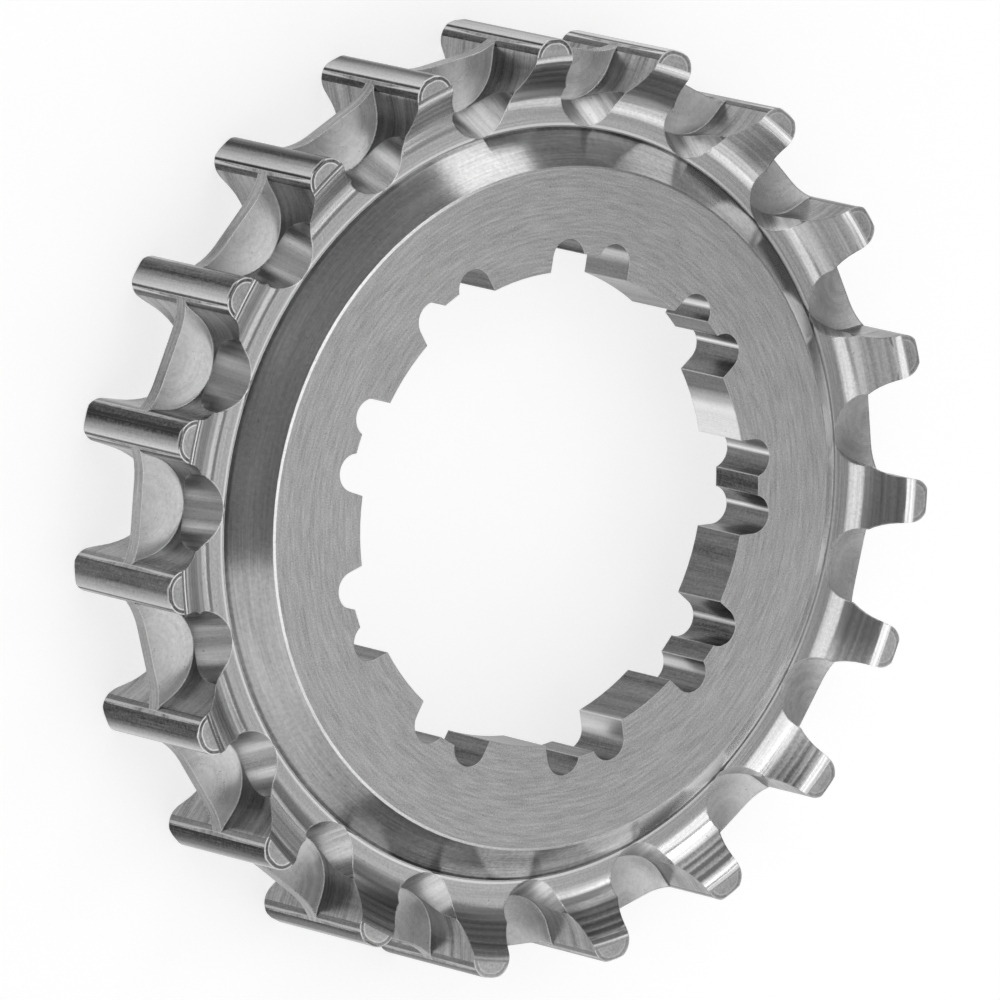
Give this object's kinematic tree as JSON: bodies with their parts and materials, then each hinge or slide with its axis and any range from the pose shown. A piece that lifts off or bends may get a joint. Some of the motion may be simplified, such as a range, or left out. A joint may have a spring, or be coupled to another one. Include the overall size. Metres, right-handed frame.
{
  "type": "belt drive sprocket",
  "caption": "One-piece rear belt sprocket with wide teeth, a centre fin, mud scoops and a splined bore.",
  "frame": {"origin": "on the bore's axis, level with the back ends of the teeth, which it lies on", "axes": "+Z along the bore's axis, towards the front hub face; +X through the middle of a tooth gap and of a spline tab"},
  "size_m": [0.0628, 0.063, 0.0108],
  "materials": {
    "steel": "turned and milled"
  },
  "bodies": {
    "root": {"sprocket": "steel"}
  },
  "joints": []
}
